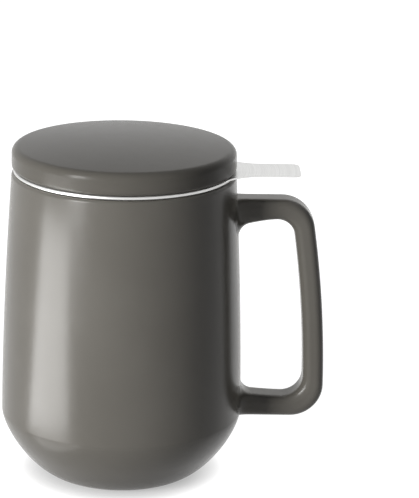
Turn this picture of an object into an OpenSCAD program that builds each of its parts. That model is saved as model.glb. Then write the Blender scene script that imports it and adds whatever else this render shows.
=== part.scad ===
// Lidded tea mug with a loose infuser: a stoneware mug with a loop handle, a stainless strainer that
// hangs from its flange on the rim, and a lid that sits on the flange. Millimetres, +Z up.
// The origin is the centre of the foot ring on the mug's axis; the handle and the tab point to +X.

/* [Mug body] */
// Height of the mug from the table to the crest of the lip
mug_h = 118; // [100:1:140]
// Outer radius at the belly, the widest place
belly_r = 46; // [44:0.5:50]
// Height of the belly above the table
belly_z = 24.2; // [18:0.2:34]
// Outer radius just under the lip
rim_r = 42.5; // [42:0.1:43.5]
// Outer radius of the foot ring
foot_r = 26.5; // [22:0.5:30]
// Exponent of the curve from the foot to the belly: 1 is a cone, 2 an ellipse
belly_power = 1.42; // [1.2:0.02:2.4]
// Exponent of the taper from the belly to the lip: 1 is a cone
taper_power = 1.67; // [1:0.01:2.2]
// Thickness of the wall
wall_t = 4.2; // [3.4:0.1:5]
// Thickness of the rounded lip
lip_t = 2.6; // [2.2:0.1:3.2]
// Height over which the wall thins towards the lip
lip_run = 42; // [20:1:70]
// Thickness of the floor above the table
floor_t = 6; // [5:0.1:8]
// Radius of the flat part of the floor inside
floor_r = 25; // [18:0.5:28]
// Width of the flat ring that the mug stands on
foot_ring_w = 4.5; // [3:0.1:7]
// Depth of the hollow inside the foot ring
foot_recess = 1.6; // [0.8:0.1:2.4]
// Run of the slope from the foot ring up into the hollow
foot_slope = 1.2; // [0.6:0.1:2]

/* [Handle] */
// Distance from the mug's axis to the outermost point of the handle
handle_reach = 77.6; // [74:0.1:84]
// Height of the middle of the upper arm
handle_top_z = 105.2; // [98:0.1:106]
// Height of the middle of the lower arm
handle_bottom_z = 26.7; // [24:0.1:36]
// Thickness of the handle, in the plane of its loop
handle_t = 7.9; // [6.8:0.1:9]
// Width of the handle across the loop
handle_w = 12.8; // [10:0.1:15]
// Radius of the handle's long edges
handle_edge_r = 3.1; // [1.5:0.1:3.3]
// Radius of the gentle bow of the grip, at its outer side
handle_bow_r = 420; // [300:10:900]
// Height at which the bowed grip stands upright
handle_bow_z = 33; // [24:1:60]
// Radius of the upper corner outside the loop
handle_top_outer_r = 12.6; // [9:0.1:18]
// Radius of the upper corner inside the loop
handle_top_inner_r = 6.9; // [4:0.1:12]
// Radius of the lower corner outside the loop
handle_bottom_outer_r = 12.6; // [9:0.1:18]
// Radius of the lower corner inside the loop
handle_bottom_inner_r = 8.2; // [4:0.1:12]
// Radius of the fillet where each arm runs into the body, inside the loop and at its sides
handle_root_r = 4.2; // [2:0.1:5]
// How much the upper arm thickens on its inner side towards the body
handle_top_web = 2.8; // [0:0.1:3.5]
// How much the lower arm thickens on its inner side towards the body
handle_bottom_web = 1.1; // [0:0.1:3]

/* [Infuser funnel] */
// Outer radius of the flange that hangs on the lip
flange_r = 41.8; // [41.6:0.1:42.4]
// Thickness of the stamped sheet
sheet_t = 0.6; // [0.5:0.05:0.8]
// Diameter of the bead rolled under the flange's edge
bead_d = 1.5; // [1.2:0.1:1.8]
// Radius at which the flat flange ends and the mouth turns down
mouth_r = 39.6; // [38.6:0.1:39.8]
// Radius of the turn at the mouth, at mid-sheet
mouth_bend = 1.6; // [1.2:0.1:2.2]
// Tilt of the bowl's conical wall from the upright, in degrees
bowl_tilt = 38; // [34:0.5:42]
// Tilt of the sill, the flatter step round the throat, from the upright, in degrees
sill_tilt = 62; // [56:1:68]
// Radius of the bend between the bowl's wall and the sill, at mid-sheet
sill_bend = 1.5; // [0.8:0.1:3]
// Length of the sill's straight slope
sill_l = 2.2; // [1:0.1:3]
// Radius of the turn at the throat, at mid-sheet
throat_bend = 0.5; // [0.45:0.05:1]
// Outer radius of the collar that carries the basket
collar_r = 29; // [28:0.1:29.4]
// Length of the collar's straight wall
collar_l = 2; // [1.6:0.1:5]
// Distance from the axis to the tip of the tab
tab_reach = 66.5; // [62:0.5:70]
// Width of the tab
tab_w = 18; // [14:0.5:22]
// Radius of the tab's corners at its tip
tab_corner_r = 3; // [1:0.5:6]
// Radius of the curves that run from the flange into the tab
tab_root_r = 15.5; // [8:0.5:18]

/* [Basket] */
// Depth of the basket, from the top of the flange to the underside of its base
basket_h = 66; // [50:1:90]
// Thickness of the perforated sheet
mesh_t = 0.3; // [0.2:0.05:0.5]
// How much the basket's radius narrows from the end of the collar to its foot
basket_taper = 2.2; // [0:0.1:4]
// Thickness of the ring round the base
ring_t = 0.5; // [0.4:0.1:0.8]
// Height of that ring
ring_h = 3.6; // [2.4:0.1:6]
// Radius of the bend between the ring's wall and its ledge, at mid-sheet
ring_bend = 0.8; // [0.6:0.1:1.2]
// Width of the ledge that carries the base mesh
ledge_w = 4.4; // [3:0.1:8]

/* [Lid] */
// Outer radius of the lid
lid_r = 42.4; // [42:0.1:43]
// Height of the lid at its edge
lid_edge_h = 8.6; // [7:0.1:12]
// Radius of the rounding between the lid's wall and its top
lid_top_round = 3; // [2:0.1:4]
// Radius of the rounding at the lid's lower edge
lid_foot_round = 1.5; // [0.8:0.1:2.5]
// Slope of the crowned top where it meets the rounding, in degrees
lid_crown_angle = 6; // [3:0.5:10]
// How far the locating ring stands inside the flat flange
lid_ring_inset = 4.3; // [4:0.1:6]
// Length of the locating ring below the lid's seat
lid_ring_h = 2.1; // [1.7:0.1:4]
// Thickness of the locating ring
lid_ring_t = 3.6; // [2.5:0.1:5]
// Radius of the rounding on the locating ring's lower edge
lid_ring_round = 1.4; // [0.6:0.1:1.6]
// Depth of the hollow under the lid, above its seat
lid_hollow = 2.4; // [0:0.1:3]

/* [Fits] */
// Clearance under a piece that rests on another by its weight
seat_gap = 0.15; // [0.05:0.05:0.3]
// Clearance between pieces that are welded or luted together
weld_gap = 0.05; // [0.02:0.01:0.1]

/* [Hidden] */
$fn = 96;
curve_steps = 20;
bend_steps = 8;
edge_steps = 5;
clay = [0.45, 0.44, 0.41];
steel = [0.80, 0.81, 0.82];
mesh_steel = [0.68, 0.69, 0.70];

// Lip: a half round on top of the wall
lip_z = mug_h - lip_t / 2;
lip_mid_r = rim_r - lip_t / 2;

// Handle
handle_half_t = handle_t / 2;
handle_half_w = handle_w / 2;
bow_mid = [handle_reach - handle_bow_r, handle_bow_z];

// Infuser: the bead rests on the lip, and everything else hangs from the flange's top face
flange_z = mug_h + seat_gap + bead_d;
half_t = sheet_t / 2;
bowl_in = [-cos(bowl_tilt), sin(bowl_tilt)];
bowl_down = [-sin(bowl_tilt), -cos(bowl_tilt)];
sill_in = [-cos(sill_tilt), sin(sill_tilt)];
sill_down = [-sin(sill_tilt), -cos(sill_tilt)];
bends_run = mouth_bend * cos(bowl_tilt) + sill_bend * (cos(bowl_tilt) - cos(sill_tilt))
    + throat_bend * (1 - cos(sill_tilt));
bowl_run = mouth_r - collar_r + half_t - bends_run - sill_l * sin(sill_tilt);
bowl_l = bowl_run / sin(bowl_tilt);
mouth_mid = [mouth_r, flange_z - half_t - mouth_bend];
sill_mid = mouth_mid + (mouth_bend + sill_bend) * bowl_in + bowl_l * bowl_down;
throat_mid = sill_mid + sill_l * sill_down - (sill_bend + throat_bend) * sill_in;
collar_z = throat_mid[1] - collar_l;
tab_half_w = tab_w / 2;
tab_root_mid_y = tab_half_w + tab_root_r;
tab_root_mid_x = sqrt(pow(flange_r + tab_root_r, 2) - pow(tab_root_mid_y, 2));
tab_root_angle = asin(tab_root_mid_y / (flange_r + tab_root_r));
bead_mid_r = flange_r - bead_d / 2;
bead_mid_z = flange_z - bead_d / 2;

// Basket: its wall slips over the straight collar, tapers below it and stands in the base ring,
// where the ring's bend ends; the disc lies on the ledge, under the wall
base_z = flange_z - basket_h;
ledge_z = base_z + ring_t / 2;
wall_top_z = throat_mid[1] - weld_gap;
wall_foot_z = ledge_z + ring_bend;
wall_top_r = collar_r + weld_gap;
wall_foot_r = wall_top_r - basket_taper;
ring_top_z = base_z + ring_h;
ring_mid_r = wall_foot_r + basket_lean(ring_top_z - wall_foot_z) + mesh_t + weld_gap + ring_t / 2;
disc_z = base_z + ring_t + weld_gap;
disc_r = ring_mid_r - ring_bend - weld_gap;

// Lid: it sits on the flange, and its ring drops into the mouth
seat_z = flange_z + seat_gap;
lid_ring_r = mouth_r - lid_ring_inset;
lid_crown_r = (lid_r - lid_top_round * (1 - sin(lid_crown_angle))) / sin(lid_crown_angle);
lid_shoulder_z = seat_z + lid_edge_h - lid_top_round;
lid_crown_z = lid_shoulder_z + lid_top_round * cos(lid_crown_angle) - lid_crown_r * cos(lid_crown_angle);

// How far the basket's wall leans out over a height h above its foot
function basket_lean(h) = basket_taper * h / (collar_z - wall_foot_z);

// Quarter of a superellipse: 0 at t = 0, 1 at t = 1
function bulge(t) = pow(1 - pow(1 - t, belly_power), 1 / belly_power);

// Outer radius of the mug at height z
function low_r(z) = foot_r + (belly_r - foot_r) * bulge(z / belly_z);
function high_r(z) = belly_r - (belly_r - rim_r) * pow((z - belly_z) / (lip_z - belly_z), taper_power);
function body_r(z) = z < belly_z ? low_r(max(z, 0)) : high_r(z);

// Inner radius of the mug at height z
function wall_at(z) = lip_t + (wall_t - lip_t) * sin(90 * min(1, (lip_z - z) / lip_run));
function inner_low_r(z) = floor_r + (belly_r - wall_t - floor_r) * bulge((z - floor_t) / (belly_z - floor_t));
function inner_r(z) = z < belly_z ? inner_low_r(max(z, floor_t)) : high_r(z) - wall_at(z);

// Steps from 0 to 1 that crowd near 0, where the curves turn fastest
function crowded(n) = [for (i = [0:n]) pow(i / n, 2)];
function even(n) = [for (i = [0:n]) i / n];
function reversed(list) = [for (i = [len(list) - 1:-1:0]) list[i]];

// Points of an arc about a middle point, from angle a to angle b
function arc(mid, r, a, b, n) = [for (t = even(n)) mid + r * [cos(a + (b - a) * t), sin(a + (b - a) * t)]];

// Outline of half the mug's section
outer_low = [for (t = crowded(curve_steps)) [low_r(t * belly_z), t * belly_z]];
outer_high = [for (t = even(curve_steps)) let (z = belly_z + t * (lip_z - belly_z)) [high_r(z), z]];
lip = arc([lip_mid_r, lip_z], lip_t / 2, 0, 180, 2 * bend_steps);
inner_high = [for (t = even(curve_steps)) let (z = lip_z - t * (lip_z - belly_z)) [inner_r(z), z]];
inner_low = [
    for (t = reversed(crowded(curve_steps)))
        let (z = floor_t + t * (belly_z - floor_t)) [inner_low_r(z), z]
];
foot = [
    [0, floor_t],
    [0, foot_recess],
    [foot_r - foot_ring_w - foot_slope, foot_recess],
    [foot_r - foot_ring_w, 0]
];

function without_first(list) = [for (i = [1:len(list) - 1]) list[i]];

module mug_body() {
    color(clay)
    rotate_extrude()
    polygon(concat(
        outer_low,
        without_first(outer_high),
        without_first(lip),
        without_first(inner_high),
        without_first(inner_low),
        foot
    ));
}

// Middle of a corner of radius r between an arm's side at height z and the grip's side of radius bow;
// up is 1 for the upper corner and -1 for the lower one
function corner_mid(z, up, r, bow) =
    let (mid_z = z - up * r)
    [bow_mid[0] + sqrt(pow(bow - r, 2) - pow(mid_z - bow_mid[1], 2)), mid_z];
function angle_of(mid) = atan2(mid[1] - bow_mid[1], mid[0] - bow_mid[0]);

// One side of the loop, from the upper arm round the grip to the lower arm: a corner, the bow, a corner
function loop_side(top_z, bottom_z, bow, top_r, bottom_r) =
    let (
        top_mid = corner_mid(top_z, 1, top_r, bow),
        bottom_mid = corner_mid(bottom_z, -1, bottom_r, bow),
        grip = arc(bow_mid, bow, angle_of(top_mid), angle_of(bottom_mid), bend_steps)
    )
    concat(
        arc(top_mid, top_r, 90, angle_of(top_mid), bend_steps),
        [for (i = [1:bend_steps - 1]) grip[i]],
        arc(bottom_mid, bottom_r, angle_of(bottom_mid), -90, bend_steps)
    );
outer_side = loop_side(
    handle_top_z + handle_half_t,
    handle_bottom_z - handle_half_t,
    handle_bow_r,
    handle_top_outer_r,
    handle_bottom_outer_r
);
inner_side = loop_side(
    handle_top_z - handle_half_t,
    handle_bottom_z + handle_half_t,
    handle_bow_r - handle_t,
    handle_top_inner_r,
    handle_bottom_inner_r
);
side_end = len(outer_side) - 1;

// Section of the handle, grown by g: [share of the way from the middle to the outer side, width along Y]
function corner(mid_u, mid_v, r, a) = arc([mid_u, mid_v], r, a, a + 90, edge_steps);
function flat(u, v) = [for (t = [0.5, 0, -0.5]) [u, t * v]];
function section_points(u, v, r) = concat(
    corner(u, v, r, 0),
    corner(-u, v, r, 90),
    flat(-u - r, v),
    corner(-u, -v, r, 180),
    corner(u, -v, r, 270),
    flat(u + r, -v)
);
function handle_section(g) =
    let (r = handle_edge_r + g)
    [
        for (q = section_points(handle_half_t - handle_edge_r, handle_half_w - handle_edge_r, r))
            [q[0] / (handle_half_t + g), q[1]]
    ];

// One ring of the handle between an outer and an inner point [x, z]: growth g, share s of its size, and
// how much, w, it takes the curve of the body that the arm at height z springs from
function skin_x(y, z) = sqrt(pow(body_r(z), 2) - y * y);
function ring(outer, inner, g, s, w, z) = [
    for (q = handle_section(g))
        let (p = (outer + inner) / 2 + s * q[0] * (outer - inner) / 2, y = s * q[1])
        [p[0] + w * (skin_x(y, p[1]) - body_r(z)), y, p[1]]
];

// How far a concave fillet still stands out at distance d from the body
function flare(d) =
    d >= handle_root_r ? 0 : handle_root_r - sqrt(pow(handle_root_r, 2) - pow(handle_root_r - d, 2));

// Ring of an arm at share t of its length: its inner side is filled out by the fillet and the web
function arm_ring(z, outer, inner, web, t, s) =
    let (
        root = body_r(z) + weld_gap,
        d = t * (inner[0] - root),
        fill = flare(d) + web * pow(1 - t, 1.5),
        outer_point = [root + t * (outer[0] - root), outer[1]],
        inner_point = [root + d, inner[1] + (inner[1] > outer[1] ? fill : -fill)]
    )
    ring(outer_point, inner_point, flare(d), s, pow(1 - t, 2), z);
function upper_arm(t, s) = arm_ring(handle_top_z, outer_side[0], inner_side[0], handle_top_web, t, s);
function lower_arm(t, s) =
    arm_ring(handle_bottom_z, outer_side[side_end], inner_side[side_end], handle_bottom_web, t, s);

cap_shares = [0.25, 0.5, 0.75];
arm_shares = concat([for (t = crowded(bend_steps)) 0.3 * t], [0.45, 0.6, 0.8]);
handle_rings = concat(
    [for (s = cap_shares) upper_arm(0, s)],
    [for (t = arm_shares) upper_arm(t, 1)],
    [for (i = [0:side_end]) ring(outer_side[i], inner_side[i], 0, 1, 0, 0)],
    [for (t = reversed(arm_shares)) lower_arm(t, 1)],
    [for (s = reversed(cap_shares)) lower_arm(0, s)]
);

// Skin over a stack of closed rings, drawn to a point at either end
module skin(rings, first, last) {
    n = len(rings[0]);
    m = len(rings);
    points = concat([first], [for (r = rings) each r], [last]);
    sides = [
        for (i = [0:m - 2], j = [0:n - 1])
            let (k = 1 + i * n, next = (j + 1) % n)
            each [[k + j, k + next, k + n + j], [k + next, k + n + next, k + n + j]]
    ];
    head = [for (j = [0:n - 1]) [0, 1 + (j + 1) % n, 1 + j]];
    tail = [for (j = [0:n - 1]) let (k = 1 + (m - 1) * n) [k + j, k + (j + 1) % n, m * n + 1]];
    polyhedron(points, concat(head, sides, tail));
}

module mug_handle() {
    color(clay)
    skin(handle_rings, upper_arm(0, 0)[0], lower_arm(0, 0)[0]);
}

// One face of the funnel's sheet, s outwards from mid-sheet on the upper and inner side
function funnel_face(s) = concat(
    arc(mouth_mid, mouth_bend + s, 90, 180 - bowl_tilt, bend_steps),
    arc(sill_mid, sill_bend - s, -bowl_tilt, -sill_tilt, edge_steps),
    arc(throat_mid, throat_bend + s, 180 - sill_tilt, 180, bend_steps),
    [[throat_mid[0] - throat_bend - s, collar_z]]
);

// The bead, from where it leaves the underside of the flange, round the outside to its top
bead_start = asin((sheet_t - bead_d / 2) / (bead_d / 2)) - 180;
bead = arc([bead_mid_r, bead_mid_z], bead_d / 2, bead_start, 90, 2 * bend_steps);

// Half of the tab's outline, from the flange out to the tip
tab_side = concat(
    arc([tab_root_mid_x, tab_root_mid_y], tab_root_r, 180 + tab_root_angle, 270, bend_steps),
    reversed(arc([tab_reach - tab_corner_r, tab_half_w - tab_corner_r], tab_corner_r, 0, 90, bend_steps))
);

// The tab's inner end, an arc that lies within the flat flange
tab_root = arc([0, 0], bead_mid_r - bead_d / 2, -tab_root_angle, tab_root_angle, bend_steps);

module tab() {
    other_side = [for (p = reversed(tab_side)) [p[0], -p[1]]];
    translate([0, 0, flange_z - sheet_t])
    linear_extrude(sheet_t)
    polygon(concat(tab_side, other_side, tab_root));
}

module infuser_funnel() {
    color(steel)
    union() {
        rotate_extrude()
        polygon(concat(funnel_face(half_t), reversed(funnel_face(-half_t)), bead));
        tab();
    }
}

module basket_wall() {
    color(mesh_steel)
    rotate_extrude()
    polygon([
        [wall_top_r, wall_top_z],
        [wall_top_r, collar_z],
        [wall_foot_r, wall_foot_z],
        [wall_foot_r + mesh_t, wall_foot_z],
        [wall_top_r + mesh_t, collar_z],
        [wall_top_r + mesh_t, wall_top_z]
    ]);
}

// One face of the base ring's sheet, s outwards from mid-sheet
function ring_face(s) = concat(
    [[ring_mid_r - ring_t / 2 - ledge_w, ledge_z - s]],
    arc([ring_mid_r - ring_bend, ledge_z + ring_bend], ring_bend + s, -90, 0, bend_steps),
    [[ring_mid_r + s, ring_top_z]]
);

module base_ring() {
    color(steel)
    rotate_extrude()
    polygon(concat(ring_face(ring_t / 2), reversed(ring_face(-ring_t / 2))));
}

module base_mesh() {
    color(mesh_steel)
    translate([0, 0, disc_z])
    cylinder(r = disc_r, h = mesh_t);
}

// Outline of half the lid's section
ring_foot_z = seat_z - lid_ring_h + lid_ring_round;
ring_inner_r = lid_ring_r - lid_ring_t;
lid_edge = arc([lid_r - lid_foot_round, seat_z + lid_foot_round], lid_foot_round, -90, 0, bend_steps);
lid_round_end = 90 - lid_crown_angle;
lid_shoulder = arc([lid_r - lid_top_round, lid_shoulder_z], lid_top_round, 0, lid_round_end, bend_steps);
lid_crown = arc([0, lid_crown_z], lid_crown_r, lid_round_end, 90, curve_steps);
lid_outline = concat(
    [[lid_ring_r, seat_z]],
    lid_edge,
    lid_shoulder,
    without_first(lid_crown),
    [[0, seat_z + lid_hollow], [ring_inner_r, seat_z + lid_hollow]],
    arc([ring_inner_r + lid_ring_round, ring_foot_z], lid_ring_round, 180, 270, edge_steps),
    arc([lid_ring_r - lid_ring_round, ring_foot_z], lid_ring_round, -90, 0, edge_steps)
);

module lid() {
    color(clay)
    rotate_extrude()
    polygon(lid_outline);
}

mug_body();
mug_handle();
infuser_funnel();
basket_wall();
base_ring();
base_mesh();
lid();
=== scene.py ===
"""A lidded tea mug with a loose infuser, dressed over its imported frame: glaze, steel, holes and a stage."""

import math

import bpy
import numpy as np
from mathutils import Matrix, Vector


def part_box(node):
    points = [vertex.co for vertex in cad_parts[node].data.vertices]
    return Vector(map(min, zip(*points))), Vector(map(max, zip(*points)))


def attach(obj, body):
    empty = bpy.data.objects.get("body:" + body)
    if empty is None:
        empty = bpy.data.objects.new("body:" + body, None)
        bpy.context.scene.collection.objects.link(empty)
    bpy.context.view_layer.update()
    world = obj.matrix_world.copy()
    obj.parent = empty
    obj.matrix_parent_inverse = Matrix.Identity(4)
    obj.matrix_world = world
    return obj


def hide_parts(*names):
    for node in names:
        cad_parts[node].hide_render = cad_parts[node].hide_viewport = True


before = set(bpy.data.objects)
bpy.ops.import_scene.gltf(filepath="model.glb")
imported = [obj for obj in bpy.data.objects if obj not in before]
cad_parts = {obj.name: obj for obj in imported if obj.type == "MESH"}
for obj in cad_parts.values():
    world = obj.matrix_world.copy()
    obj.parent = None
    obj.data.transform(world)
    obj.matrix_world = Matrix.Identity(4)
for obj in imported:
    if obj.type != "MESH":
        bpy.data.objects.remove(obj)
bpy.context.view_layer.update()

bl_info = {
    "name": "Tea mug with infuser",
    "version": (1, 0, 0),
    "blender": (4, 5, 0),
    "location": "View3D > Sidebar > Tea mug",
    "description": "Makes a lidded stoneware tea mug with a stainless infuser, and a plain stage for it",
    "category": "Add Mesh",
}

MM = 0.001
TINY = 1e-9  # metres, less than any real step
CREASE = math.radians(50.0)

BODY_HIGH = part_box("mug_body")[1]
HANDLE_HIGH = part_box("mug_handle")[1]
FUNNEL_LOW, FUNNEL_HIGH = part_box("infuser_funnel")
WALL_LOW, WALL_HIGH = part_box("basket_wall")
RING_LOW, RING_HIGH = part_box("base_ring")
DISC_LOW, DISC_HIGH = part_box("base_mesh")
LID_LOW, LID_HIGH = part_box("lid")


def number(name, description, default, **options):
    """A number that the sidebar shows."""
    return bpy.props.FloatProperty(name=name, description=description, default=default, **options)


def length(name, description, default):
    """A size in metres."""
    return number(name, description, default, min=0.0, unit="LENGTH", precision=4)


def share(name, description, default, top=1.0):
    """A plain number from nothing to its top."""
    return number(name, description, default, min=0.0, max=top)


def watts(name, description, default):
    """The power of a lamp."""
    return number(name, description, default, min=0.0, unit="POWER", precision=4)


def angle(name, description, degrees):
    """An angle, given in degrees and kept in radians."""
    return number(name, description, math.radians(degrees), subtype="ANGLE")


def colour(name, description, default):
    """A colour that the sidebar shows."""
    return bpy.props.FloatVectorProperty(
        name=name, description=description, default=default, size=3, min=0.0, max=1.0, subtype="COLOR"
    )


def count(name, description, default):
    """A whole number that the sidebar shows."""
    return bpy.props.IntProperty(name=name, description=description, default=default, min=4)


class MugSizes(bpy.types.PropertyGroup):
    """Sizes of the mug's body and handle."""

    height: length("Height", "From the table to the crest of the lip", BODY_HIGH.z)
    belly_radius: length("Belly radius", "Outer radius at the widest place", BODY_HIGH.x)
    belly_height: length("Belly height", "Height of the widest place", 24.2 * MM)
    rim_radius: length("Rim radius", "Outer radius just under the lip", 42.5 * MM)
    foot_radius: length("Foot radius", "Outer radius of the foot ring", 26.5 * MM)
    belly_power: share("Belly curve", "Exponent of the curve from foot to belly", 1.42, 4.0)
    taper_power: share("Taper curve", "Exponent of the taper from belly to lip", 1.67, 4.0)
    wall: length("Wall", "Thickness of the wall", 4.2 * MM)
    lip: length("Lip", "Thickness of the rounded lip", 2.6 * MM)
    lip_run: length("Lip run", "Height over which the wall thins to the lip", 42.0 * MM)
    floor: length("Floor", "Thickness of the floor above the table", 6.0 * MM)
    floor_radius: length("Floor radius", "Radius of the flat floor inside", 25.0 * MM)
    foot_width: length("Foot width", "Width of the ring that the mug stands on", 4.5 * MM)
    foot_recess: length("Foot recess", "Depth of the hollow under the floor", 1.6 * MM)
    foot_slope: length("Foot slope", "Run of the slope into the hollow", 1.2 * MM)
    handle_top: length("Upper arm", "Height of the middle of the upper arm", 105.2 * MM)
    handle_bottom: length("Lower arm", "Height of the middle of the lower arm", 26.7 * MM)
    handle_reach: length("Handle reach", "From the axis to the outermost point", HANDLE_HIGH.x)
    handle_thickness: length("Handle thickness", "In the plane of the loop", 7.9 * MM)
    handle_width: length("Handle width", "Across the loop", 12.8 * MM)
    handle_edge: length("Handle edges", "Radius of the long edges", 3.1 * MM)
    handle_bow: length("Grip bow", "Radius of the grip's gentle bow, at its outer side", 420.0 * MM)
    handle_bow_height: length("Upright height", "Height at which the bowed grip stands upright", 33.0 * MM)
    handle_top_outer: length("Upper corner outside", "Radius outside the loop", 12.6 * MM)
    handle_top_inner: length("Upper corner inside", "Radius inside the loop", 6.9 * MM)
    handle_bottom_outer: length("Lower corner outside", "Radius outside the loop", 12.6 * MM)
    handle_bottom_inner: length("Lower corner inside", "Radius inside the loop", 8.2 * MM)
    handle_root: length("Root fillet", "Radius where each arm runs into the body", 4.2 * MM)
    handle_top_web: length("Upper web", "How much the upper arm thickens to the body", 2.8 * MM)
    handle_bottom_web: length("Lower web", "How much the lower arm thickens to the body", 1.1 * MM)


class InfuserSizes(bpy.types.PropertyGroup):
    """Sizes of the infuser."""

    flange_radius: length("Flange radius", "Outer radius of the flange", FUNNEL_HIGH.y)
    sheet: length("Sheet", "Thickness of the stamped sheet", 0.6 * MM)
    bead: length("Bead", "Diameter of the bead rolled under the edge", 1.5 * MM)
    mouth_radius: length("Mouth radius", "Where the flat flange ends", 39.6 * MM)
    mouth_bend: length("Mouth bend", "Radius of the turn at the mouth, at mid-sheet", 1.6 * MM)
    bowl_tilt: angle("Bowl tilt", "Tilt of the bowl's conical wall from the upright", 38.0)
    sill_tilt: angle("Sill tilt", "Tilt of the flatter step round the throat", 62.0)
    sill_bend: length("Sill bend", "Radius between the bowl's wall and the sill, at mid-sheet", 1.5 * MM)
    sill_length: length("Sill length", "Length of the sill's straight slope", 2.2 * MM)
    throat_bend: length("Throat bend", "Radius of the turn at the throat, at mid-sheet", 0.5 * MM)
    collar_radius: length("Collar radius", "Outer radius of the collar", 29.0 * MM)
    tab_reach: length("Tab reach", "From the axis to the tab's tip", FUNNEL_HIGH.x)
    tab_width: length("Tab width", "Width of the tab", 18.0 * MM)
    tab_corner: length("Tab corners", "Radius of the corners at the tip", 3.0 * MM)
    tab_root: length("Tab roots", "Radius of the curves from the flange into the tab", 15.5 * MM)
    tab_edge: length("Tab edge", "Width of the broken edge of the tab", 0.16 * MM)
    weld_gap: length("Weld gap", "Clearance between the collar and the basket", 0.05 * MM)
    basket_taper: length("Basket taper", "How much the radius narrows from the collar to the foot", 2.2 * MM)
    mesh_sheet: length("Etched sheet", "Thickness of the perforated sheet", 0.3 * MM)
    columns: count("Columns", "Holes round the basket", 184)
    rows: count("Rows", "Holes down the basket", 46)
    seam_columns: count("Seam", "Columns left plain where the sheet is lapped", 5)
    hole_share: share("Holes", "Width of a hole as a share of the pitch", 0.66)
    top_margin: length("Top margin", "Plain edge of the etched sheet under the bowl", 3.4 * MM)
    foot_margin: length("Foot margin", "Plain edge of the etched sheet over the base", 3.8 * MM)
    disc_cells: count("Base cells", "Cells across the disc", 54)
    disc_hole_radius: length("Base field", "Radius of the perforated part", 20.6 * MM)
    ring_sheet: length("Ring sheet", "Thickness of the ring round the base", 0.5 * MM)
    ring_bend: length("Ring bend", "Radius between the ring's wall and its ledge", 0.8 * MM)
    ledge: length("Ledge", "Width of the ledge under the base disc", 4.4 * MM)


class LidSizes(bpy.types.PropertyGroup):
    """Sizes of the lid."""

    radius: length("Radius", "Outer radius of the lid", LID_HIGH.y)
    edge_height: length("Edge height", "Height of the lid at its edge", 8.6 * MM)
    top_round: length("Top rounding", "Radius between the wall and the top", 3.0 * MM)
    foot_round: length("Lower rounding", "Radius at the lower edge", 1.5 * MM)
    crown: angle("Crown", "Slope of the top where it meets the rounding", 6.0)
    ring_radius: length("Ring radius", "Outer radius of the locating ring", 35.3 * MM)
    ring_height: length("Ring height", "Length of the locating ring below the seat", 2.1 * MM)
    ring_wall: length("Ring wall", "Thickness of the locating ring", 3.6 * MM)
    ring_round: length("Ring rounding", "Radius on the ring's lower edge", 1.4 * MM)
    hollow: length("Hollow", "Depth of the hollow under the lid, above its seat", 2.4 * MM)


class Finishes(bpy.types.PropertyGroup):
    """Colours and gloss of the materials."""

    glaze: colour("Glaze", "Warm grey satin glaze", (0.146, 0.137, 0.120))
    glaze_light: colour("Glaze, thin", "The glaze where it is thinner", (0.160, 0.151, 0.133))
    # Painted shade: the lid has the mug's glaze, and this share darkens it so that its lit top looks no
    # lighter.
    lid_painted_shade: share("Lid tone", "How light the lid's glaze is against the mug's", 0.86)
    lid_shine: share("Lid shine", "Strength of the lid's reflections against the mug's", 0.5)
    glaze_roughness: share("Glaze roughness", "Roughness of the satin glaze", 0.24)
    glaze_shine: share("Glaze shine", "Strength of the glaze's reflections; 0.5 is plain glass", 0.24)
    bare_clay: colour("Bare clay", "Unglazed stoneware of the foot", (0.50, 0.44, 0.36))
    steel: colour("Steel", "Stainless steel", (0.75, 0.75, 0.74))
    steel_dark: colour("Steel, brushed lines", "The darker lines of the brushing", (0.65, 0.65, 0.64))
    steel_haze: share("Bowl haze", "Share of the light that the bowl's satin steel scatters", 0.18)
    tab_tone: share("Tab tone", "How light the tab's steel is against the bowl's", 1.0, 1.1)
    mesh_tone: share("Mesh tone", "How light the etched sheet is against the bowl's steel", 0.7)


class StageSettings(bpy.types.PropertyGroup):
    """Floor, light and camera."""

    camera_distance: length("Camera distance", "From the middle of the mug", 1.0)
    camera_elevation: angle("Camera elevation", "Above the horizon", 18.05)
    camera_pan: angle("Camera pan", "Turn to the right of the mug's middle", 1.915)
    camera_tilt: angle("Camera tilt", "Turn above the mug's middle", 1.577)
    camera_roll: angle("Camera roll", "Roll about the line of sight", 0.678)
    lens: number("Lens", "Focal length on a 36 mm sensor", 188.33, min=1.0, unit="CAMERA")
    ambient: share("Ambient", "Strength of the light from all round", 0.02, 4.0)
    key: watts("Key", "Power of the softbox on the left", 11.6)
    back: watts("Back", "Power of the softbox behind on the right", 7.0)
    strip: watts("Strip", "Power of the low strip that draws the long highlight", 0.30)
    table: watts("Table", "Power of the patch of table whose glow ends the highlight", 0.0165)
    floor_glow: share("Floor glow", "How white the floor looks by itself", 0.95)
    floor_shade: share("Floor shade", "How much the floor takes up the object's shadow", 0.38)
    # Painted contact shadow: ambient occlusion darkens the floor's glow within this reach.
    painted_contact_reach: length("Contact shadow", "How close the object comes to darken the floor", 7.0 * MM)


def settings():
    """All the settings, which are kept with the scene."""
    return bpy.context.scene.tea_mug


# ---- shapes as arrays

NO_TRIANGLES = np.zeros((0, 3), int)


def arc(middle, radius, start, end, steps):
    """Points on a circle: middle + radius (cos a, sin a), as a goes evenly from start to end in radians."""
    a = np.linspace(start, end, steps + 1)
    return np.asarray(middle, float) + radius * np.stack([np.cos(a), np.sin(a)], axis=1)


def joined(*parts):
    """One outline from several, with points that coincide with the one before them left out."""
    points = np.concatenate([np.atleast_2d(p) for p in parts])
    step = np.linalg.norm(np.diff(points, axis=0), axis=1)
    return points[np.concatenate([[True], step > TINY])]


def bulge(t, power):
    """Quarter of a superellipse: (1 - (1 - t)^power)^(1/power), 0 at t = 0 and 1 at t = 1."""
    return (1.0 - (1.0 - np.clip(t, 0.0, 1.0)) ** power) ** (1.0 / power)


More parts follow.
